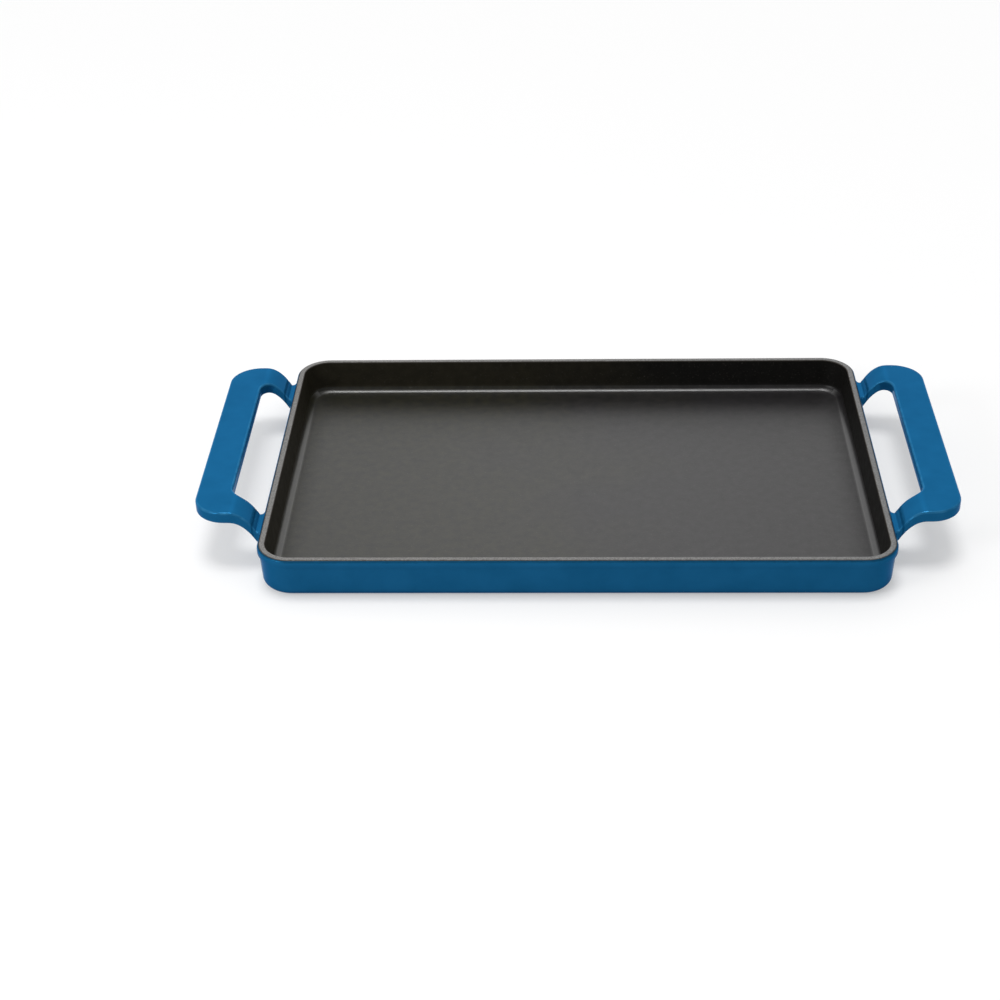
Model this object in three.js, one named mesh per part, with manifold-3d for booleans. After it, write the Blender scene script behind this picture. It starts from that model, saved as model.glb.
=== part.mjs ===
// Enamelled cast iron griddle plate: a shallow rectangular pan with a raised loop handle at each end.
// Millimetres, +Z up. The origin is the middle of the underside, and +X runs along the plate.
// Sizes are over the enamel. The iron lies one coat and one bond line beneath every finished face.

import * as THREE from "three";
import { mergeVertices } from "three/addons/utils/BufferGeometryUtils.js";
import Module from "manifold-3d";

// Pan
const panLength = 356; // over the lip, along X
const panWidth = 237; // over the lip, along Y
const panHeight = 24.5; // underside to the top of the rim
const cornerRadius = 20; // corners of the lip in plan
const rimWidth = 4.6; // from the outside of the lip to the inside wall
const shoulderRadius = 2.2; // rounding from the top of the rim to the outside of the lip
const rimEdgeRadius = 0.8; // rounding along the inner edge of the rim
const lipHeight = 5.5; // band under the rim that stands out from the wall
const lipStep = 1.1; // how far that band stands out
const wallDraft = 0.8; // lean of the outside wall, from lip to underside
const baseRadius = 4.5; // outside, wall to underside
const floorThickness = 4.5; // underside to cooking surface
const floorRadius = 5; // inside, wall to cooking surface
const innerDraft = 1.6; // lean of the inside wall, from rim to floor

// Handles
const armSetback = 31.9; // long side of the lip to the outside of the nearer arm
const armWidth = 19.5;
const handleReach = 38; // short side of the lip to the far side of the bar
const barWidth = 20;
const handleThickness = 6.7;
const handleRise = 11.2; // top of the bar above the rim
const handleEdgeRadius = 1.3; // rounding along the edges of a handle
const handleCornerRadius = 18; // outside corners in plan
const fingerRadius = 8.5; // inside corners of the finger gap
const armBend = 2.3; // how sharply an arm rises from its lug: 2 is a parabola, more is steeper

// Lugs, the stubs on the pan that carry the arms
const lugDrop = 1.2; // top of a lug below the rim
const lugLength = 2.2; // lip to the foot of the arm, where it starts to rise
const lugFlare = 2.5; // how far a lug widens each way where it meets the wall
const lugDeepen = 2.5; // how much deeper a lug is at the wall than at the foot of the arm
const creaseReach = 4.2; // lip to the crease across an arm, where lug and handle are split
const lugCover = 1.1; // iron left between the root of a lug and the inside wall

// Enamel and clearances
const enamelThickness = 0.4;
const coatSeam = Math.PI / 4; // the colour coat and the rim coat meet this far round the shoulder
const bondGap = 0.1; // between enamel and iron
const seamGap = 0.3; // between two coats, and between a lug and its arm
const overcut = 2; // how far a cutting shape passes the faces it cuts

// Facets
const cornerDivisions = 3; // each corner of the pan has twice as many sides
const sectionDivisions = 1; // each edge of a handle has twice as many sides
const filletSteps = 3;
const rimSteps = 2;
const shoulderSteps = 2;
const armSteps = 3;
const bendSteps = 12;
const lugSteps = 4;

// Places that follow from the sizes
const ironDepth = enamelThickness + bondGap;
const cookingTop = panHeight - rimEdgeRadius - seamGap; // the cooking coat stops here
const lipBottom = panHeight - lipHeight;
const baseEdge = -lipStep - wallDraft - baseRadius; // edge of the flat underside, measured from the lip
const lugTop = panHeight - lugDrop;
const lugRoot = rimWidth - ironDepth - lugCover; // how far a lug runs into the wall, measured from the lip
const lipSide = panLength / 2;
const footX = lipSide + lugLength;
const seamX = lipSide + creaseReach;
const barX = lipSide + handleReach - barWidth;
const barEnd = lipSide + handleReach;
const armOutside = panWidth / 2 - armSetback;
const armInside = armOutside - armWidth;
const handleTop = panHeight + handleRise;

const wasm = await Module();
wasm.setup();

/** Points of a rounded rectangle about the origin, anticlockwise. */
function roundedRectangle(halfX, halfY, radius, divisions) {
  const path = new THREE.Path();
  path.absarc(halfX - radius, halfY - radius, radius, 0, Math.PI / 2);
  path.absarc(radius - halfX, halfY - radius, radius, Math.PI / 2, Math.PI);
  path.absarc(radius - halfX, radius - halfY, radius, Math.PI, 1.5 * Math.PI);
  path.absarc(halfX - radius, radius - halfY, radius, 1.5 * Math.PI, 2 * Math.PI);
  return path.getPoints(divisions);
}

/** Closed skin over rings of equal point counts: flat ends, or the last ring joined to the first. */
function skin(rings, looped = false) {
  const count = rings[0].length;
  const spans = looped ? rings.length : rings.length - 1;
  const index = [];
  for (let i = 0; i < spans; i++) {
    const here = i * count;
    const next = ((i + 1) % rings.length) * count;
    for (let j = 0; j < count; j++) {
      const k = (j + 1) % count;
      index.push(here + j, here + k, next + k);
      index.push(here + j, next + k, next + j);
    }
  }
  if (!looped) {
    const end = spans * count;
    for (let j = 1; j < count - 1; j++) {
      index.push(0, j + 1, j);
      index.push(end, end + j, end + j + 1);
    }
  }
  return new THREE.BufferGeometry().setFromPoints(rings.flat()).setIndex(index);
}

/** A closed geometry as a solid that can be joined and cut. */
function solidOf(geometry) {
  const merged = mergeVertices(geometry);
  return new wasm.Manifold(
    new wasm.Mesh({
      numProp: 3,
      vertProperties: merged.getAttribute("position").array,
      triVerts: new Uint32Array(merged.index.array),
    }),
  );
}

function geometryOf(solid) {
  const { vertProperties, triVerts } = solid.getMesh();
  return new THREE.BufferGeometry()
    .setAttribute("position", new THREE.BufferAttribute(vertProperties, 3))
    .setIndex(new THREE.BufferAttribute(triVerts, 1));
}

// A profile of the pan is a list of points: x is measured outward from the lip and y is the height.

function arc(x, y, radius, from, to, steps) {
  return new THREE.EllipseCurve(x, y, radius, radius, from, to, to < from).getPoints(steps);
}

function shoulderArc(radius, from, to) {
  return arc(-shoulderRadius, panHeight - shoulderRadius, radius, from, to, shoulderSteps);
}

/** Outside of the pan, from the underside half-way round the shoulder, at a depth beneath the finish. */
function wallProfile(depth) {
  return [
    ...arc(baseEdge, baseRadius, baseRadius - depth, -Math.PI / 2, 0, filletSteps),
    new THREE.Vector2(-lipStep - depth, lipBottom),
    new THREE.Vector2(-depth, lipBottom + lipStep),
    ...shoulderArc(shoulderRadius - depth, 0, coatSeam),
  ];
}

/** Over the rim, from the shoulder to the inside wall. */
function rimProfile(depth) {
  const middle = rimEdgeRadius - rimWidth;
  const radius = rimEdgeRadius - depth;
  return [
    ...shoulderArc(shoulderRadius - depth, coatSeam + seamGap / shoulderRadius, Math.PI / 2),
    ...arc(middle, panHeight - rimEdgeRadius, radius, Math.PI / 2, Math.PI, rimSteps),
  ];
}

/** Inside of the pan, round the fillet down to the flat floor. */
function floorProfile(depth) {
  const middle = -rimWidth - innerDraft - floorRadius;
  return arc(middle, floorThickness + floorRadius, floorRadius + depth, 0, -Math.PI / 2, filletSteps);
}

function panRing(point) {
  const halfX = panLength / 2 + point.x;
  const halfY = panWidth / 2 + point.x;
  return roundedRectangle(halfX, halfY, cornerRadius + point.x, cornerDivisions).map(
    (corner) => new THREE.Vector3(corner.x, corner.y, point.y),
  );
}

function panShape(profile, looped = false) {
  return skin(profile.map(panRing), looped);
}

// Lugs

/** One lug with the foot of its arm, on the +X, +Y side, at a depth beneath the finished face. */
function lugShape(depth, overrun = 0) {
  const lugStation = (out) => {
    const toWall = THREE.MathUtils.clamp(1 - out / lugLength, 0, 1);
    const spread = 1 - Math.sqrt(1 - toWall ** 2);
    const height = handleThickness + lugDeepen * spread;
    const top = armTop(lipSide + out);
    const middleY = (armOutside + armInside) / 2;
    const section = roundedRectangle(
      armWidth / 2 + lugFlare * spread - depth,
      height / 2 - depth,
      handleEdgeRadius - depth,
      sectionDivisions,
    );
    const x = lipSide + out - depth * toWall; // where the flare faces outward, the depth is taken along X
    return section.map((p) => new THREE.Vector3(x, middleY + p.x, top - height / 2 + p.y));
  };
  // The flare is a quarter of an ellipse, so the stations follow its angle and crowd towards the wall.
  const stations = [-lugRoot];
  for (let i = 0; i <= lugSteps; i++) {
    const turn = ((Math.PI / 2) * i) / lugSteps;
    stations.push(lugLength * (1 - Math.cos(turn)));
  }
  stations.push(creaseReach);
  if (overrun > 0) stations.push(creaseReach + overrun);
  return skin(stations.map(lugStation));
}

/** The four lugs as solids: each stands the same way round, so two are shifted and two are turned. */
function fourLugs(depth, overrun = 0) {
  const pair = [lugShape(depth, overrun)];
  pair.push(pair[0].clone().translate(0, -(armOutside + armInside), 0));
  return [...pair, ...pair.map((lug) => lug.clone().rotateZ(Math.PI))].map(solidOf);
}

function joined(first, others) {
  return others.reduce((sum, other) => sum.add(other), first);
}

// Handles

/** Height of the top face of a lug or handle above the underside of the pan. */
function armTop(x) {
  const toGo = THREE.MathUtils.clamp((barX - x) / (barX - footX), 0, 1);
  return handleTop - (handleTop - lugTop) * toGo ** armBend;
}

/** Pairs of points, outer and inner edge, along the right-hand handle from the rear arm to the front one. */
function handleEdges() {
  const bendX = barX - fingerRadius;
  const start = seamX + seamGap;
  const roundX = barEnd - handleCornerRadius;
  const roundY = armOutside - handleCornerRadius;
  const gapEnd = armInside - fingerRadius;
  const outerBend = new THREE.Path()
    .moveTo(bendX, armOutside)
    .lineTo(roundX, armOutside)
    .absarc(roundX, roundY, handleCornerRadius, Math.PI / 2, 0, true)
    .lineTo(barEnd, gapEnd);
  const innerBend = new THREE.Path().absarc(bendX, gapEnd, fingerRadius, Math.PI / 2, 0, true);
  const outer = outerBend.getSpacedPoints(bendSteps);
  const inner = innerBend.getSpacedPoints(bendSteps);
  const rear = [];
  for (let i = 0; i < armSteps; i++) {
    const x = THREE.MathUtils.lerp(start, bendX, i / armSteps);
    rear.push([new THREE.Vector2(x, armOutside), new THREE.Vector2(x, armInside)]);
  }
  outer.forEach((point, i) => rear.push([point, inner[i]]));
  const front = rear.map((pair) => pair.map((point) => new THREE.Vector2(point.x, -point.y)));
  return [...rear, ...front.reverse()];
}

function handleRing([outer, inner], depth) {
  const middle = outer.clone().add(inner).multiplyScalar(0.5);
  const across = outer.clone().sub(inner);
  const section = roundedRectangle(
    across.length() / 2 - depth,
    handleThickness / 2 - depth,
    handleEdgeRadius - depth,
    sectionDivisions,
  );
  across.normalize();
  return section.map((p) => {
    const place = middle.clone().addScaledVector(across, p.x);
    return new THREE.Vector3(place.x, place.y, armTop(place.x) - handleThickness / 2 + p.y);
  });
}

// Sub-parts

function panCasting() {
  const profile = [...wallProfile(ironDepth), ...rimProfile(ironDepth), ...floorProfile(ironDepth)];
  return geometryOf(joined(solidOf(panShape(profile)), fourLugs(ironDepth)));
}

function cookingEnamel() {
  const inside = (depth) => [new THREE.Vector2(depth - rimWidth, cookingTop), ...floorProfile(depth)];
  return panShape([...inside(enamelThickness).reverse(), ...inside(0)]);
}

function rimGroundCoat() {
  return panShape([...rimProfile(0), ...rimProfile(enamelThickness).reverse()], true);
}

function skirtEnamel() {
  const hollow = [
    new THREE.Vector2(baseEdge, -overcut),
    ...wallProfile(enamelThickness),
    shoulderArc(shoulderRadius + overcut, 0, coatSeam).at(-1),
  ];
  const block = joined(solidOf(panShape(wallProfile(0))), fourLugs(0));
  const cutter = joined(solidOf(panShape(hollow)), fourLugs(enamelThickness, overcut));
  return geometryOf(block.subtract(cutter));
}

function baseEnamel() {
  const edge = baseEdge - seamGap;
  return panShape([new THREE.Vector2(edge, 0), new THREE.Vector2(edge, enamelThickness)]);
}

function handleCasting() {
  return skin(handleEdges().map((pair) => handleRing(pair, ironDepth)));
}

function handleEnamel() {
  const edges = handleEdges();
  const outside = edges.map((pair) => handleRing(pair, 0));
  const inside = edges.map((pair) => handleRing(pair, enamelThickness));
  const pastSeam = (ring) => ring.map((point) => point.clone().setX(point.x - overcut));
  const hollow = [pastSeam(inside[0]), ...inside, pastSeam(inside.at(-1))];
  return geometryOf(solidOf(skin(outside)).subtract(solidOf(skin(hollow))));
}

const iron = new THREE.MeshStandardMaterial({ color: 0x3b3a39, roughness: 0.7, metalness: 0.7 });
const blueEnamel = new THREE.MeshStandardMaterial({ color: 0x216899, roughness: 0.25, metalness: 0 });
const blackEnamel = new THREE.MeshStandardMaterial({ color: 0x2c2a27, roughness: 0.45, metalness: 0 });
const greyCoat = new THREE.MeshStandardMaterial({ color: 0x868480, roughness: 0.7, metalness: 0 });

const plate = new THREE.Group();

function place(name, geometry, material, parent = plate) {
  const mesh = new THREE.Mesh(geometry, material);
  mesh.name = name;
  parent.add(mesh);
}

place("pan_casting", panCasting(), iron);
place("cooking_enamel", cookingEnamel(), blackEnamel);
place("rim_ground_coat", rimGroundCoat(), greyCoat);
place("skirt_enamel", skirtEnamel(), blueEnamel);
place("base_enamel", baseEnamel(), blueEnamel);

// The left-hand handle is the right-hand one turned half round.
for (const [side, turn] of [["right", 0], ["left", Math.PI]]) {
  const handle = new THREE.Group();
  handle.rotation.z = turn;
  plate.add(handle);
  place(`${side}_handle_casting`, handleCasting(), iron, handle);
  place(`${side}_handle_enamel`, handleEnamel(), blueEnamel, handle);
}

export default plate;
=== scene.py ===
# %% [markdown]
# # An enamelled cast iron griddle plate
#
# The plate is a shallow pan with a loop handle at each end. It is one iron casting under three fired
# coats: satin black inside, a grey ground coat along the top of the rim, and blue everywhere else.
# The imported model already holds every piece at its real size, but its faces are few and flat. Here
# each coat is modelled again as a smooth shell over the iron, and every surface gets its finish. All
# lengths are in metres.

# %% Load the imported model
import math

import bmesh
import bpy
from mathutils import Matrix, Vector


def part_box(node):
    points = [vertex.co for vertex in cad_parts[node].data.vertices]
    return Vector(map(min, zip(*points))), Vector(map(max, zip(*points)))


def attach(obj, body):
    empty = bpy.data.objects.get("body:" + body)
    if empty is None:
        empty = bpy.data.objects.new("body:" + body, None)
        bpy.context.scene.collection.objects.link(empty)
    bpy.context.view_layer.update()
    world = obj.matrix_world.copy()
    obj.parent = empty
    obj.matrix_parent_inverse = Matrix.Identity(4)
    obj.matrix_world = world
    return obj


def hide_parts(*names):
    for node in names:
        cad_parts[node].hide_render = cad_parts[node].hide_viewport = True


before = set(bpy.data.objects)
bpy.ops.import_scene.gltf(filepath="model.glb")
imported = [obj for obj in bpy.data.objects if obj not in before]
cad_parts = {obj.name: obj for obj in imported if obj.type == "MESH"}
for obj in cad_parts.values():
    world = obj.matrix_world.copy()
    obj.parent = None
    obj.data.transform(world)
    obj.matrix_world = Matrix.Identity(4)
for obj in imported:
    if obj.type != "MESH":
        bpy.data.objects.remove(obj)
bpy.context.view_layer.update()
print("nodes:", ", ".join(sorted(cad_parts)))

# %% [markdown]
# ## Sizes of the pan
#
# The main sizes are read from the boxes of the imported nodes, so that the coats land where the nodes
# are. The blue skirt node carries the stubs of the handles, so it ends at the crease across the arms,
# a little past the lip. What a box can't say, such as a radius, is written down where it is first
# needed.

# %% Read the sizes of the pan
MM = 0.001
skirt_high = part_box("skirt_enamel")[1]
rim_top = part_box("rim_ground_coat")[1].z
half_width = skirt_high.y
crease_x = skirt_high.x
crease_reach = 4.2 * MM
half_length = crease_x - crease_reach
corner_radius = 20 * MM
corner_x = half_length - corner_radius
corner_y = half_width - corner_radius
print(f"pan {2 * half_length / MM:.1f} x {2 * half_width / MM:.1f} mm, rim at {rim_top / MM:.1f} mm")

# %% [markdown]
# ## Camera
#
# The photograph was taken from in front and above with a longish lens. The camera stands on a line
# that is turned, raised and rolled a little about the middle of the rim, and it looks past the plate,
# because the plate isn't in the middle of the picture. Building its matrix from those few turns is
# easier to read than a location and three angles.

# %% Place the camera
azimuth = math.radians(2.434)
elevation = math.radians(31.984)
roll = math.radians(-1.429)
camera_distance = 1.1709
aim_right = -44.93 * MM
aim_up = -29.34 * MM

view = bpy.data.cameras.new("camera")
view.sensor_width = 36
view.lens = 70.56
camera = bpy.data.objects.new("camera", view)
bpy.context.scene.collection.objects.link(camera)
raised = Matrix.Rotation(azimuth, 4, "Z") @ Matrix.Rotation(math.pi / 2 - elevation, 4, "X")
rolled = raised @ Matrix.Rotation(roll, 4, "Z")
stand = Matrix.Translation((aim_right, aim_up, camera_distance))
camera.matrix_world = Matrix.Translation((0, 0, rim_top)) @ rolled @ stand
bpy.context.scene.camera = camera
print("camera at", [round(x, 4) for x in camera.matrix_world.translation])

# %% [markdown]
# ## Building materials from nodes
#
# Every finish below is a Principled shader whose colour, roughness and bump are driven by patterns.
# Nodes could be added and linked one by one, but that hides the recipe in wiring. These helpers start
# a finish, join an output to a socket, and add a node with its inputs set by name or by number, so
# that a finish reads as a short list of steps.

# %% Helpers for nodes
def new_finish(name, **constants):
    """A new material and its shader. Constants are set on the shader's own sockets."""
    material = bpy.data.materials.new(name)
    material.use_nodes = True
    shader = material.node_tree.nodes["Principled BSDF"]
    for socket, value in constants.items():
        shader.inputs[socket.replace("_", " ")].default_value = value
    return material, shader


def wire(material, output, socket):
    material.node_tree.links.new(output, socket)


def add_node(material, kind, inputs=None, **settings):
    """Adds a node. Each input is a value to set, or the output of another node to link."""
    node = material.node_tree.nodes.new(kind)
    for key, value in settings.items():
        setattr(node, key, value)
    for key, value in (inputs or {}).items():
        if isinstance(value, bpy.types.NodeSocket):
            wire(material, value, node.inputs[key])
        else:
            node.inputs[key].default_value = value
    return node


print("node helpers ready")

# %% [markdown]
# ## Values and colours
#
# A pattern is a number at each point of a surface. Math nodes combine such numbers, a Map Range node
# brings them into the range that is wanted, and a Mix node makes them a colour between two others. A
# Mix node has sockets for several kinds of value, and the numbers here pick the ones for colours.

# %% Helpers for values and colours
MIX_FIRST = 6
MIX_SECOND = 7
MIX_RESULT = 2


def calculate(material, operation, *values):
    inputs = dict(enumerate(values))
    return add_node(material, "ShaderNodeMath", inputs, operation=operation).outputs[0]


def stretch(material, value, low, high, to_low=0.0, to_high=1.0):
    """A value between low and high becomes one between the other two, and stays inside them."""
    inputs = {"Value": value, "From Min": low, "From Max": high, "To Min": to_low, "To Max": to_high}
    return add_node(material, "ShaderNodeMapRange", inputs).outputs["Result"]


def blend(material, amount, first, second):
    """Mixes two colours, each a plain colour or an output."""
    node = add_node(material, "ShaderNodeMix", {0: amount}, data_type="RGBA")
    for socket, value in ((node.inputs[MIX_FIRST], first), (node.inputs[MIX_SECOND], second)):
        if isinstance(value, bpy.types.NodeSocket):
            wire(material, value, socket)
        else:
            socket.default_value = (*value, 1.0)
    return node.outputs[MIX_RESULT]


print("value and colour helpers ready")

# %% [markdown]
# ## Patterns
#
# Enamel and iron are uneven in a way that has no direction, so noise is the pattern for all of them.
# It is read from Object coordinates: every piece sits at the origin, so these are real places on the
# plate, and a height or a distance along the plate can mask a mark to where it belongs. A noise scale
# is one over the size of a blotch. Most of a noise lies between 0.3 and 0.7, so that part of it is
# what the recipes stretch.

# %% Helpers for patterns
def place(material):
    return add_node(material, "ShaderNodeTexCoord").outputs["Object"]


def blotches(material, size, detail=3.0, roughness=0.5):
    """Noise from 0 to 1 whose blotches are about that size."""
    inputs = {"Vector": place(material), "Scale": 1 / size, "Detail": detail, "Roughness": roughness}
    return add_node(material, "ShaderNodeTexNoise", inputs).outputs["Fac"]


def from_middle(material, axis):
    """Where a point is along an axis, from the middle of the plate. For Z that is its height."""
    return add_node(material, "ShaderNodeSeparateXYZ", {0: place(material)}).outputs[axis]


def away_from_middle(material, axis):
    """The same without its sign, so that both ends of the plate are treated alike."""
    return calculate(material, "ABSOLUTE", from_middle(material, axis))


def ragged(material, value, size, swing):
    """A value whose edges wander by up to a swing, so that a mask made from it isn't ruled."""
    wander = stretch(material, blotches(material, size, detail=4.0), 0.3, 0.7, -swing, swing)
    return calculate(material, "ADD", value, wander)


def bumps(material, shader, layers):
    """Stacks bumps: each layer is a height from 0 to 1 and how deep that is."""
    normal = None
    for height, depth in layers:
        inputs = {"Height": height, "Strength": 1.0, "Distance": depth}
        node = add_node(material, "ShaderNodeBump", inputs)
        if normal:
            wire(material, normal, node.inputs["Normal"])
        normal = node.outputs["Normal"]
    wire(material, normal, shader.inputs["Normal"])


print("pattern helpers ready")

# %% [markdown]
# ## Cast iron
#
# The casting is wholly covered, but it is there under every coat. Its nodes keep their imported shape,
# because no more of them is seen, and get the dull sandy grey of iron as it comes from the mould.

# %% Cast iron on the castings
def cast_iron(name):
    material, shader = new_finish(name, Metallic=0.8)
    dark = (0.03, 0.029, 0.028)
    pale = (0.075, 0.072, 0.068)
    scale_marks = blotches(material, 4 * MM, detail=6.0)
    wire(material, blend(material, scale_marks, dark, pale), shader.inputs["Base Color"])
    wire(material, stretch(material, scale_marks, 0.2, 0.8, 0.55, 0.8), shader.inputs["Roughness"])
    sand_grain = blotches(material, 0.8 * MM, detail=4.0)
    bumps(material, shader, [(sand_grain, 0.12 * MM)])
    return material


iron = cast_iron("cast_iron")
for name in ("pan_casting", "right_handle_casting", "left_handle_casting"):
    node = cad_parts[name]
    node.data.materials.clear()
    node.data.materials.append(iron)
    print("iron on", name)

# %% [markdown]
# ## A pen for the section of the pan
#
# Cut the front wall of the pan and look at the cut end: that line is all that is needed to make a
# coat. It could be typed as a list of points, but the rounded stretches would need many. Instead a
# single vertex is moved like a pen: extruding it draws a straight stretch, and spinning it about a
# centre draws an arc. "Out" is measured outward from the outside of the lip. Degrees below zero climb
# over an outside edge, and those above zero go round a hollow.

# %% Draw a section
arc_steps = 8
quarter_turn = 90


def on_section(out, height):
    return Vector((corner_x, -half_width - out, height))


def pen_down(bm, out, height):
    return bm.verts.new(on_section(out, height))


def pen_line(bm, tip, out, height):
    end = bmesh.ops.extrude_vert_indiv(bm, verts=[tip])["verts"][0]
    end.co = on_section(out, height)
    return end


def pen_arc(bm, tip, out, height, degrees):
    """Turns the pen about a centre."""
    turn = {"cent": on_section(out, height), "axis": (1, 0, 0), "angle": math.radians(degrees)}
    drawn = bmesh.ops.spin(bm, geom=[tip], steps=arc_steps, **turn)
    return drawn["geom_last"][0]


print("a section starts at", [round(x / MM, 1) for x in on_section(0, 0)], "mm")

# %% [markdown]
# ## Once round the pan
#
# In plan the pan is a rectangle with round corners. The section is spun a quarter turn about the
# middle of each corner and drawn straight along each side, until it meets itself. A spin with no
# angle and a step draws the straight side, so one operator does both. The result is a sheet. A spin
# can turn it inside out, so its faces are made to look at a point on the side that is seen.

# %% Carry a section round the pan
corner_steps = 16
merge_distance = 1e-6


def round_the_pan(bm):
    outline = bm.verts[:] + bm.edges[:]
    right = [(corner_x, -corner_y), (corner_x, corner_y)]
    left = [(-corner_x, corner_y), (-corner_x, -corner_y)]
    corners = right + left
    for here, after in zip(corners, corners[1:] + corners[:1]):
        about = {"cent": (*here, 0), "axis": (0, 0, 1)}
        side = (after[0] - here[0], after[1] - here[1], 0)
        spun = bmesh.ops.spin(bm, geom=outline, angle=math.pi / 2, steps=corner_steps, **about)
        drawn = bmesh.ops.spin(bm, geom=spun["geom_last"], dvec=side, angle=0, steps=1, **about)
        outline = drawn["geom_last"]
    bmesh.ops.remove_doubles(bm, verts=bm.verts[:], dist=merge_distance)


def turn_faces(bm, toward):
    """Makes all faces agree, then turns them over if the one nearest a point looks away from it."""
    bmesh.ops.recalc_face_normals(bm, faces=bm.faces[:])
    nearest = min(bm.faces, key=lambda face: (face.calc_center_median() - toward).length)
    if nearest.normal.dot(toward - nearest.calc_center_median()) < 0:
        bmesh.ops.reverse_faces(bm, faces=bm.faces[:])


print("each corner is spun in", corner_steps, "steps")

# %% [markdown]
# ## From a sheet to a coat
#
# A fired coat is a thin even layer, which a Solidify modifier makes from the sheet. The sheet is its
# outside face, so the thickness goes inward, toward the iron. Weighted normals keep the flat faces
# flat when the shading is smooth. Each coat rides on the plate and stands for the node that it
# replaces.

# %% Finish a coat
coat = 0.3 * MM


def finished_coat(bm, name, material, node):
    mesh = bpy.data.meshes.new(name)
    bm.to_mesh(mesh)
    bm.free()
    mesh.shade_smooth()
    mesh.materials.append(material)
    piece = bpy.data.objects.new(name, mesh)
    bpy.context.scene.collection.objects.link(piece)
    shell = piece.modifiers.new("coat thickness", "SOLIDIFY")
    shell.thickness = coat
    shell.offset = -1
    piece.modifiers.new("true flats", "WEIGHTED_NORMAL")
    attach(piece, "root")
    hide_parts(node)
    print(name, "has", len(mesh.polygons), "faces before its thickness")
    return piece


print(f"a coat is {coat / MM:.1f} mm thick")

# %% [markdown]
# ## Blue enamel
#
# Fired glass on iron: smooth, glossy and very slightly wavy, with a colour that is a little deeper
# where the coat is thick. The colour lies under clear glass, so even its reflections are blue: a
# small share of Metallic tints them. Slow blotches vary the colour, and a fine orange peel and a slow
# swell make the bump. Molten glaze draws back from a narrow edge, so a piece may carry an attribute
# that says where the glaze is thin and pale. That pale blue along the rounded edges is partly thin
# glaze and partly a painted highlight. On a piece without it the attribute reads as nothing.
# Each blue piece also has marks of its own, so the recipe takes a function that makes their mask.

# %% Blue enamel
def blue_enamel(name, marks, mark_colour, mark_roughness):
    """Glossy blue with marks, which have their own colour and are that much rougher."""
    tint = (0.3, 0.6, 1, 1)
    material, shader = new_finish(name, Metallic=0.3, Specular_IOR_Level=0.01, Specular_Tint=tint)
    deep = (0.0083, 0.106, 0.246)
    bright = (0.0107, 0.121, 0.278)
    pale = (0.035, 0.2, 0.39)
    mottle = stretch(material, blotches(material, 14 * MM), 0.3, 0.7)
    blue = blend(material, mottle, deep, bright)
    # Pale blue on the marked rounded edges: thin glaze, and partly a painted highlight.
    thin = add_node(material, "ShaderNodeAttribute", attribute_name="thin_glaze_and_highlight").outputs["Fac"]
    patchy = stretch(material, blotches(material, 5 * MM), 0.35, 0.65, 0.2, 0.7)
    glaze = blend(material, calculate(material, "MULTIPLY", thin, patchy), blue, pale)
    marked = marks(material)
    wire(material, blend(material, marked, glaze, mark_colour), shader.inputs["Base Color"])
    gloss = stretch(material, blotches(material, 3 * MM), 0.25, 0.75, 0.14, 0.2)
    dulled = calculate(material, "MULTIPLY_ADD", marked, mark_roughness, gloss)
    wire(material, dulled, shader.inputs["Roughness"])
    peel = blotches(material, 1.3 * MM, detail=1.0)
    swell = blotches(material, 18 * MM, detail=1.0)
    bumps(material, shader, [(peel, 0.015 * MM), (swell, 0.15 * MM)])
    return material


print("blue enamel recipe ready")

# %% [markdown]
# ## The skirt
#
# The blue coat of the outside wall: from the flat underside round the base, up the wall, out to the
# lip and most of the way round the shoulder, where the colour was wiped away. The wiping leaves the
# blue thin along that edge, so that the dark coat beneath shows through in a ragged line, which a
# mask by height keeps in place.

# %% Skirt
shoulder_radius = 2.2 * MM
lip_height = 5.5 * MM
lip_step = 1.1 * MM
base_edge = -6.4 * MM
base_radius = 4.5 * MM
seam_angle = 58
lip_bottom = rim_top - lip_height
shoulder_middle = rim_top - shoulder_radius
seam_height = shoulder_middle + shoulder_radius * math.sin(math.radians(seam_angle))
wiped_from = seam_height - 1.0 * MM
wiped_to = seam_height - 0.2 * MM
wiped_blue = (0.006, 0.045, 0.085)


def wiped_edge(material):
    height = ragged(material, away_from_middle(material, "Z"), 1.5 * MM, 0.2 * MM)
    return stretch(material, height, wiped_from, wiped_to, 0.0, 0.85)


skirt_blue = blue_enamel("blue_enamel_wall", wiped_edge, wiped_blue, mark_roughness=0.2)
skirt = bmesh.new()
tip = pen_down(skirt, base_edge, 0)
tip = pen_arc(skirt, tip, base_edge, base_radius, -quarter_turn)
tip = pen_line(skirt, tip, -lip_step, lip_bottom)
tip = pen_line(skirt, tip, 0, lip_bottom + lip_step)
tip = pen_line(skirt, tip, 0, shoulder_middle)
pen_arc(skirt, tip, -shoulder_radius, shoulder_middle, -seam_angle)
round_the_pan(skirt)
turn_faces(skirt, Vector((0, -1, rim_top / 2)))
finished_coat(skirt, "blue_skirt", skirt_blue, "skirt_enamel")

# %% [markdown]
# ## Grey ground coat
#
# Along the top of the rim the colour is wiped off before firing, and the matt ground coat shows. It
# is grainy, a warm grey at the left that turns neutral in clouds towards the right, and it burns
# brown where it thins over the edges of the rim. The warm grey at the left is also a little paler,
# which is painted light from that side. The edges lie lower than the flat top, so a mask by height
# finds them without any painting.

# %% Grey ground coat
burnt_from = rim_top - 0.04 * MM
burnt_to = rim_top - 0.2 * MM


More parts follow.
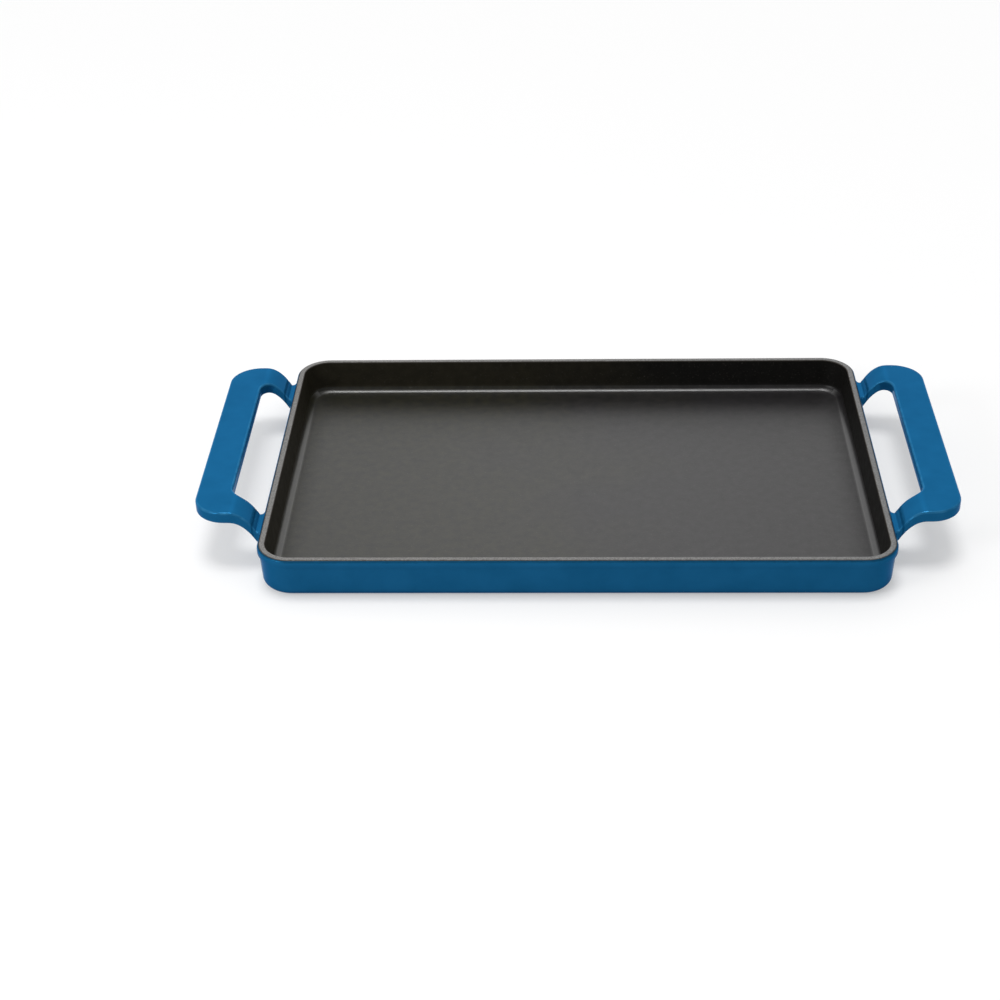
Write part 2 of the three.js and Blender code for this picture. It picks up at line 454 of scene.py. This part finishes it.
def ground_coat(name):
    material, shader = new_finish(name, Specular_IOR_Level=0.3)
    speckle = stretch(material, blotches(material, 0.9 * MM, detail=4.0, roughness=0.7), 0.3, 0.7)
    warm = blend(material, speckle, (0.083, 0.081, 0.078), (0.262, 0.256, 0.247))
    neutral = blend(material, speckle, (0.078, 0.078, 0.0775), (0.246, 0.246, 0.244))
    # The warm grey at the left is a touch paler: a change of tone plus painted light from the left.
    along = ragged(material, from_middle(material, "X"), 12 * MM, 80 * MM)
    greys_and_left_light = blend(material, stretch(material, along, -half_length, half_length), warm, neutral)
    height = ragged(material, away_from_middle(material, "Z"), 1.6 * MM, 0.05 * MM)
    burnt = stretch(material, height, burnt_from, burnt_to)
    brown = (0.034, 0.028, 0.022)
    wire(material, blend(material, burnt, greys_and_left_light, brown), shader.inputs["Base Color"])
    wire(material, stretch(material, speckle, 0.0, 1.0, 0.6, 0.75), shader.inputs["Roughness"])
    grain = blotches(material, 0.5 * MM, detail=3.0)
    bumps(material, shader, [(grain, 0.05 * MM)])
    return material


grey = ground_coat("grey_ground_coat")
print("made", grey.name)

# %% [markdown]
# ## The rim
#
# The grey band starts where the blue stops, runs over the flat top and turns down the inner edge. It
# is drawn with the same pen, so it meets the skirt exactly.

# %% Rim
rim_width = 4.6 * MM
rim_edge_radius = 0.8 * MM
inner_edge = -rim_width + rim_edge_radius
seam_out = -shoulder_radius + shoulder_radius * math.cos(math.radians(seam_angle))
above = Vector((0, 0, 1))

rim = bmesh.new()
tip = pen_down(rim, seam_out, seam_height)
tip = pen_arc(rim, tip, -shoulder_radius, shoulder_middle, seam_angle - quarter_turn)
tip = pen_line(rim, tip, inner_edge, rim_top)
pen_arc(rim, tip, inner_edge, rim_top - rim_edge_radius, -quarter_turn)
round_the_pan(rim)
turn_faces(rim, above)
finished_coat(rim, "grey_rim", grey, "rim_ground_coat")

# %% [markdown]
# ## Black cooking enamel
#
# The inside has a satin black coat with a fine grain, so that fat wets it. It is nearly black and
# looks grey only where it mirrors the bright room, so the colour stays dark and the gloss does the
# work. The black is warm at the left and neutral at the right, with a cloudy border between them. A
# mottle of a few millimetres breaks it up, and fine pale specks are pores in the coat. How rough it is
# comes from a function, because the floor and the walls differ.

# %% Black cooking enamel
clouds = 60 * MM


def black_enamel(name, warm, neutral, uneven, roughness, **constants):
    """Satin black that turns from warm to neutral along the plate. A function makes its roughness."""
    material, shader = new_finish(name, **constants)
    deepest = (0.001, 0.001, 0.001)
    pore = (0.04, 0.037, 0.032)
    along = ragged(material, from_middle(material, "X"), clouds, clouds)
    black = blend(material, stretch(material, along, -clouds, clouds), warm, neutral)
    mottle = stretch(material, blotches(material, 5 * MM, detail=4.0), 0.3, 0.7, 0.0, uneven)
    broken = blend(material, mottle, black, deepest)
    specks = stretch(material, blotches(material, 1.1 * MM, detail=2.0), 0.62, 0.8)
    wire(material, blend(material, specks, broken, pore), shader.inputs["Base Color"])
    wire(material, roughness(material), shader.inputs["Roughness"])
    grain = blotches(material, 1.2 * MM, detail=2.0)
    bumps(material, shader, [(grain, 0.03 * MM)])
    return material


print("black enamel recipe ready")

# %% [markdown]
# ## How rough the black is
#
# The floor lies flat in the kiln and fires to an even satin, a little duller in a strip along its two
# ends. The fillet round it is smoother, because glaze gathers in a hollow. On the upright walls the
# coat is thin and dry. Each is a pattern of roughness, placed by height and by distance along the
# plate.

# %% Satin and dry
floor_height = 4.5 * MM
floor_radius = 5 * MM
inner_draft = 1.6 * MM
fillet_out = -rim_width - inner_draft - floor_radius
floor_end = half_length + fillet_out
smooth_height = floor_height + 0.5 * MM
dull_start = floor_end - 12 * MM
dull_end = floor_end + 2 * MM


def satin(material):
    even = stretch(material, blotches(material, 6 * MM, detail=4.0), 0.3, 0.7, 0.04, 0.07)
    climb = stretch(material, from_middle(material, "Z"), floor_height, smooth_height, 0.3, 0.24)
    along = ragged(material, away_from_middle(material, "X"), 10 * MM, 0.5 * MM)
    strip = stretch(material, along, dull_start, floor_end)
    before_fillet = stretch(material, along, floor_end, dull_end, 0.1, 0.0)
    duller = calculate(material, "MULTIPLY_ADD", strip, before_fillet, even)
    return calculate(material, "ADD", climb, duller)


def dry(material):
    return stretch(material, blotches(material, 6 * MM, detail=4.0), 0.3, 0.7, 0.42, 0.55)


print(f"the flat floor ends {floor_end / MM:.1f} mm from the middle")

# %% [markdown]
# ## Four blacks
#
# In the fillets at the two ends the glaze pools and is glossiest. At the foot of a wall it thins out,
# and the dry walls have almost no gloss, so they stay dark when the floor beside them is bright. A
# socket such as the specular level has one value for a whole material, so each of these stretches
# gets a material of its own.

# %% Four blacks
floor_warm = (0.015, 0.0142, 0.0068)
floor_neutral = (0.0115, 0.01, 0.0112)
wall_warm = (0.024, 0.0213, 0.0138)
wall_neutral = (0.0095, 0.009, 0.0082)
glass = 1.6

on_floor = (floor_warm, floor_neutral, 0.8, satin)
on_walls = (wall_warm, wall_neutral, 0.3, dry)
floor_black = black_enamel("black_enamel_floor", *on_floor, IOR=glass)
pool_black = black_enamel("black_enamel_pool", *on_floor, IOR=glass, Specular_IOR_Level=0.85)
foot_black = black_enamel("black_enamel_foot", *on_floor, IOR=glass, Specular_IOR_Level=0.25)
wall_black = black_enamel("black_enamel_walls", *on_walls, Specular_IOR_Level=0.08)
print("made", floor_black.name, pool_black.name, foot_black.name, "and", wall_black.name)

# %% [markdown]
# ## The cooking surface
#
# The black coat runs down the leaning inside wall, round a generous fillet that a spatula can follow,
# and across the flat floor, which is one face that closes the ring. How far a face leans from level
# says which black it gets: past each of three tilts, in degrees, comes the next of the other three
# blacks. Along the sides nothing pools, so there the first two tilts are the same.

# %% Cooking surface
leaning_blacks = [pool_black, foot_black, wall_black]
end_tilts = (11, 56, 67)
side_tilts = (45, 45, 67)
fillet_height = floor_height + floor_radius

tray = bmesh.new()
tip = pen_down(tray, -rim_width, rim_top - rim_edge_radius)
tip = pen_line(tray, tip, fillet_out + floor_radius, fillet_height)
pen_arc(tray, tip, fillet_out, fillet_height, quarter_turn)
round_the_pan(tray)
open_edges = [edge for edge in tray.edges if edge.is_boundary]
floor_edges = [edge for edge in open_edges if edge.verts[0].co.z < floor_height + merge_distance]
bmesh.ops.edgeloop_fill(tray, edges=floor_edges)
turn_faces(tray, above)
for face in tray.faces:
    tilts = end_tilts if abs(face.normal.x) > abs(face.normal.y) else side_tilts
    lean = math.degrees(face.normal.angle(above))
    face.material_index = sum(lean > tilt for tilt in tilts)
surface = finished_coat(tray, "black_cooking_surface", floor_black, "cooking_enamel")
for black in leaning_blacks:
    surface.data.materials.append(black)
print("its finishes are", ", ".join(black.name for black in surface.data.materials))

# %% [markdown]
# ## The underside
#
# A flat blue face inside the rounded edge of the base. A lone vertex carried round the pan draws its
# outline, and one face fills it. A plate like this slides on hobs and shelves, so its gloss is rubbed
# away in long faint streaks: noise that is stretched along the plate.

# %% Underside
lengthwise = (0.06, 1, 1)
rubbed_blue = (0.03, 0.13, 0.24)


def rubbed_streaks(material):
    inputs = {"Vector": place(material), "Scale": lengthwise}
    stretched = add_node(material, "ShaderNodeMapping", inputs).outputs[0]
    inputs = {"Vector": stretched, "Scale": 1 / (1.5 * MM), "Detail": 4.0}
    streaks = add_node(material, "ShaderNodeTexNoise", inputs).outputs["Fac"]
    worn = stretch(material, blotches(material, 45 * MM), 0.35, 0.65)
    return calculate(material, "MULTIPLY", worn, stretch(material, streaks, 0.5, 0.7, 0.0, 0.6))


base_blue = blue_enamel("blue_enamel_underside", rubbed_streaks, rubbed_blue, mark_roughness=0.3)
base = bmesh.new()
pen_down(base, base_edge, 0)
round_the_pan(base)
bmesh.ops.edgeloop_fill(base, edges=base.edges[:])
turn_faces(base, -above)
finished_coat(base, "blue_underside", base_blue, "base_enamel")

# %% [markdown]
# ## The shape of a handle
#
# Each handle is a bar between two arms, all of even thickness with rounded edges, and the arms bend
# down to short stubs on the wall. Its reach, its top and its outside come from the box of its node.
# The widths of the bar and the arms then give the gap for the fingers. The arms run on into the wall,
# so that no end of them is seen.

# %% Read the sizes of a handle
handle_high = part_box("right_handle_enamel")[1]
bar_end = handle_high.x
handle_top = handle_high.z
arm_outside = handle_high.y
arm_width = 19.5 * MM
bar_width = 20 * MM
arm_inside = arm_outside - arm_width
bar_x = bar_end - bar_width
lug_root = half_length - 2 * MM
print(f"bar {bar_width / MM:.0f} mm wide, finger gap {(bar_x - half_length) / MM:.0f} mm")

# %% [markdown]
# ## A flat loop
#
# A bent loop is hard to draw, so it is made flat first: one face with sharp corners, drawn at the
# height of its top. A bevel of vertices then rounds the corners, wide outside and closer inside,
# where fingers go.

# %% Flat loop
outside_corner = 18 * MM
outside_steps = 16
finger_corner = 8.5 * MM
finger_steps = 12


def round_corners(bm, spots, radius, steps):
    corners = [v for v in bm.verts if any((v.co - spot).length < merge_distance for spot in spots)]
    bmesh.ops.bevel(
        bm, geom=corners, offset=radius, segments=steps, profile=0.5, affect="VERTICES", material=-1
    )


def both_arms(x, y):
    return [Vector((x, y, handle_top)), Vector((x, -y, handle_top))]


def flat_loop():
    """The loop in plan, at the height of its top face."""
    bm = bmesh.new()
    far_side = [(lug_root, arm_outside), (bar_end, arm_outside)]
    near_side = [(bar_end, -arm_outside), (lug_root, -arm_outside)]
    inside = [(lug_root, -arm_inside), (bar_x, -arm_inside), (bar_x, arm_inside), (lug_root, arm_inside)]
    outline = far_side + near_side + inside
    bm.faces.new([bm.verts.new((x, y, handle_top)) for x, y in outline])
    round_corners(bm, both_arms(bar_end, arm_outside), outside_corner, outside_steps)
    round_corners(bm, both_arms(bar_x, arm_inside), finger_corner, finger_steps)
    return bm


print(f"corners rounded to {outside_corner / MM:.0f} mm outside, {finger_corner / MM:.1f} mm inside")

# %% [markdown]
# ## The bend of an arm
#
# The flat loop is then bent: every point drops by an amount that depends only on how far along the
# arm it is. A power curve leaves the bar level and steepens towards the wall. Where the arm meets its
# stub the casting has a shallow crease across the top. The stub flares towards the wall on all sides
# but the top, like a fillet: a quarter of an ellipse says how far. The loop is 0.3 mm thicker below
# than its node, so that the smooth coat covers the flat facets of the iron in it.

# %% Bend a loop
thickness = 7.0 * MM
edge_radius = 1.3 * MM
arm_bend = 2.3
arm_middle = (arm_outside + arm_inside) / 2
lug_top = rim_top - 1.2 * MM
lug_length = 2.2 * MM
lug_flare = 2.5 * MM
foot_x = half_length + lug_length
crease_depth = 0.3 * MM
crease_width = 0.7 * MM


def arm_top(x):
    to_go = min(1.0, max(0.0, (bar_x - x) / (bar_x - foot_x)))
    return handle_top - (handle_top - lug_top) * to_go**arm_bend


def bend(bm):
    for vert in bm.verts:
        x, y, z = vert.co
        depth = handle_top - z
        to_wall = min(1.0, max(0.0, (foot_x - x) / lug_length))
        flare = lug_flare * (1 - math.sqrt(1 - to_wall**2))
        across = (y - math.copysign(arm_middle, y)) / (arm_outside - arm_middle)
        crease = crease_depth * math.exp(-(((x - crease_x) / crease_width) ** 2))
        dip = crease * max(0.0, 1 - depth / edge_radius)
        vert.co.y = y + flare * across
        vert.co.z = arm_top(x) - depth - flare * depth / thickness - dip


print(f"an arm climbs from {lug_top / MM:.1f} to {handle_top / MM:.1f} mm")

# %% [markdown]
# ## Cuts to bend along
#
# A bend moves points and needs points to move, but the flat loop has none along its arms. Bisecting
# it with a row of planes adds them: a few in the foot, close ones round the crease, and the rest up
# to the bar.

# %% Cut across the arms
foot_steps = 8
crease_steps = 4
crease_spacing = 0.4 * MM
arm_steps = 12


def cut_stations():
    turns = [math.pi / 2 * i / foot_steps for i in range(foot_steps + 1)]
    foot_cuts = [half_length + lug_length * (1 - math.cos(turn)) for turn in turns]
    crease_cuts = [crease_x + crease_spacing * i for i in range(-crease_steps, crease_steps + 1)]
    arm_start = crease_cuts[-1]
    arm_cuts = [arm_start + (bar_x - arm_start) * i / arm_steps for i in range(1, arm_steps + 1)]
    return foot_cuts + crease_cuts + arm_cuts


def cut_across(bm):
    for x in cut_stations():
        everything = bm.verts[:] + bm.edges[:] + bm.faces[:]
        bmesh.ops.bisect_plane(bm, geom=everything, plane_co=(x, 0, 0), plane_no=(1, 0, 0))


print(len(cut_stations()), "cuts across the arms")

# %% [markdown]
# ## Thick, with round edges
#
# The loop gets its thickness by extruding its one face downward, and then its round edges, while every
# angle is still square and a bevel can find the edges. An edge counts as square where its faces turn
# by more than a radian, which the small steps of the round corners don't. The end faces inside the
# wall are left open. The points in the middle of each rounding are marked as thinly glazed, for the
# paler blue there, which is partly thin glaze and partly a painted highlight along the edges.

# %% Thick loop
square_angle = 1.0
edge_steps = 5


def thick_loop():
    """The flat loop made thick, open at the two ends inside the wall."""
    bm = flat_loop()
    thick = bmesh.ops.extrude_face_region(bm, geom=bm.faces[:])
    lowered = [item for item in thick["geom"] if isinstance(item, bmesh.types.BMVert)]
    bmesh.ops.translate(bm, verts=lowered, vec=(0, 0, -thickness))
    bmesh.ops.recalc_face_normals(bm, faces=bm.faces[:])
    at_root = {v for v in bm.verts if abs(v.co.x - lug_root) < merge_distance}
    roots = [face for face in bm.faces if at_root.issuperset(face.verts)]
    bmesh.ops.delete(bm, geom=roots, context="FACES_ONLY")
    return bm


def round_edges(bm):
    """Rounds the level edges, and marks the points that lie between faces of the rounding."""
    thin_glaze_and_highlight = bm.verts.layers.float.new("thin_glaze_and_highlight")
    inner = [edge for edge in bm.edges if len(edge.link_faces) == 2]
    square = [edge for edge in inner if edge.calc_face_angle() > square_angle]
    level = [edge for edge in square if abs(edge.verts[0].co.z - edge.verts[1].co.z) < merge_distance]
    rounded = bmesh.ops.bevel(
        bm, geom=level, offset=edge_radius, segments=edge_steps, profile=0.5, affect="EDGES", material=-1
    )
    edge_faces = set(rounded["faces"])
    # Marked points get the pale blue: thin glaze, and partly a painted highlight.
    for vert in rounded["verts"]:
        vert[thin_glaze_and_highlight] = float(edge_faces.issuperset(vert.link_faces))


print(f"edges rounded to {edge_radius / MM:.1f} mm in {edge_steps} steps")

# %% [markdown]
# ## The two handles
#
# Now the loop is cut and bent. Glaze runs down the arms while it is molten and gathers in the crease,
# so the marks of this blue are a dark ragged line there. That line is partly pooled glaze and partly
# painted shade in the hollow of the crease. The left handle is the right one turned half round, and
# the two share their finish.

# %% Handles
pool_and_shade_from = 0.8 * MM
pool_and_shade_full = 0.25 * MM
pooled_blue_and_crease_shade = (0.001, 0.05, 0.13)


# A dark ragged line at the crease: pooled glaze, and partly painted shade in the crease.
def pooled_glaze_and_crease_shade(material):
    along = ragged(material, away_from_middle(material, "X"), 4 * MM, 0.35 * MM)
    from_crease = calculate(material, "ABSOLUTE", calculate(material, "SUBTRACT", along, crease_x))
    return stretch(material, from_crease, pool_and_shade_full, pool_and_shade_from, 0.75, 0.0)


def loop_handle(name, node, turn, material):
    bm = thick_loop()
    round_edges(bm)
    cut_across(bm)
    bend(bm)
    about = Matrix.Rotation(turn, 3, "Z")
    bmesh.ops.rotate(bm, verts=bm.verts[:], cent=(0, 0, 0), matrix=about)
    finished_coat(bm, name, material, node)


handle_blue = blue_enamel("blue_enamel_handles", pooled_glaze_and_crease_shade, pooled_blue_and_crease_shade, mark_roughness=0.0)
loop_handle("right_blue_handle", "right_handle_enamel", 0, handle_blue)
loop_handle("left_blue_handle", "left_handle_enamel", math.pi, handle_blue)

# %% [markdown]
# ## Floor
#
# A plain floor that runs out of sight. One square face is enough. It is part of the stage and not of
# the plate.

# %% Floor
floor_size = 100.0

ground = bmesh.new()
bmesh.ops.create_grid(ground, x_segments=1, y_segments=1, size=floor_size / 2)
floor_mesh = bpy.data.meshes.new("floor")
ground.to_mesh(floor_mesh)
ground.free()
floor = bpy.data.objects.new("floor", floor_mesh)
bpy.context.scene.collection.objects.link(floor)
print(f"floor {floor_size:.0f} m across")

# %% [markdown]
# ## White paper
#
# The photograph has a white ground with a soft shadow in front of the plate. A floor bright enough to
# photograph white would light the plate from below, so the floor is matt grey paper to ordinary
# light, and is shown white only to the camera and in reflections. It keeps the shadow, because part
# of its shown brightness is still light that falls on it.

# %% White paper
paper_grey = 0.42
shadow_share = 0.57
own_glow = 0.37


def matt_grey(material, level):
    return add_node(material, "ShaderNodeBsdfDiffuse", {"Color": (level, level, level, 1)}).outputs[0]


paper = bpy.data.materials.new("pale_floor")
paper.use_nodes = True
paper.node_tree.nodes.remove(paper.node_tree.nodes["Principled BSDF"])
rays = add_node(paper, "ShaderNodeLightPath").outputs
shown = calculate(paper, "MAXIMUM", rays["Is Camera Ray"], rays["Is Glossy Ray"])
shown = calculate(paper, "MAXIMUM", shown, rays["Is Transmission Ray"])
lit = matt_grey(paper, paper_grey)
shaded = matt_grey(paper, shadow_share)
glow = add_node(paper, "ShaderNodeEmission", {"Strength": own_glow}).outputs[0]
white = add_node(paper, "ShaderNodeAddShader", {0: shaded, 1: glow}).outputs[0]
either = add_node(paper, "ShaderNodeMixShader", {0: shown, 1: lit, 2: white}).outputs[0]
wire(paper, either, paper.node_tree.nodes["Material Output"].inputs["Surface"])
floor_mesh.materials.append(paper)
print(f"{paper.name} shows {shadow_share} of the light on it, and glows {own_glow}")

# %% [markdown]
# ## The room
#
# A soft studio. A bright panel behind the plate fades out to the sides into an even room. The satin
# floor of the tray mirrors that panel, so it looks brightest in the middle. The panel could be a lamp,
# but as part of the world it is soft without an edge. Directions in the world run from -1 to 1.

# %% The room and its panel
room_level = 0.45
panel_level = 1.42
panel_reach = 0.2
panel_fade = 0.42
panel_start = -0.2
panel_full = 0.8

world = bpy.data.worlds.new("studio")
bpy.context.scene.world = world
world.use_nodes = True
backdrop = world.node_tree.nodes["Background"]
toward = add_node(world, "ShaderNodeTexCoord").outputs["Generated"]
toward = add_node(world, "ShaderNodeSeparateXYZ", {0: toward}).outputs
aside = calculate(world, "ABSOLUTE", toward["X"])
behind = stretch(world, toward["Y"], panel_start, panel_full)
faded = stretch(world, aside, 0.0, panel_reach, 1.0, panel_fade)
panel = calculate(world, "MULTIPLY", behind, faded)
backdrop.inputs["Color"].default_value = (1, 1, 1, 1)
wire(world, stretch(world, panel, 0.0, 1.0, room_level, panel_level), backdrop.inputs["Strength"])
print(f"room {room_level}, panel {panel_level}")

# %% [markdown]
# ## Lamps
#
# A broad lamp overhead draws the thin light along the rear fillet, and a small one at the left in
# front brightens the near left corner and the edges there. Each looks at the middle of the plate from
# where it stands. A sun is as good as endlessly far away in that direction.

# %% Lamps
overhead_at = (-0.06, 0.08, 1.0)
overhead_level = 1.4
overhead_spread = math.radians(24)
near_left_at = (-0.75, -0.55, 0.6)
near_left_watts = 3.0
near_left_size = 0.4


def add_lamp(name, kind, energy, stand_at):
    lamp = bpy.data.lights.new(name, kind)
    lamp.energy = energy
    holder = bpy.data.objects.new(name, lamp)
    bpy.context.scene.collection.objects.link(holder)
    turn = Vector(stand_at).to_track_quat("Z", "Y").to_matrix().to_4x4()
    holder.matrix_world = Matrix.Translation(stand_at) @ turn
    print(name, "at", stand_at)
    return lamp


overhead = add_lamp("overhead_lamp", "SUN", overhead_level, overhead_at)
overhead.angle = overhead_spread
near_left = add_lamp("near_left_lamp", "AREA", near_left_watts, near_left_at)
near_left.size = near_left_size

# %% [markdown]
# ## The view of colours
#
# The colours are shown as they are, with no film look.

# %% Finish
bpy.context.scene.view_settings.view_transform = "Standard"
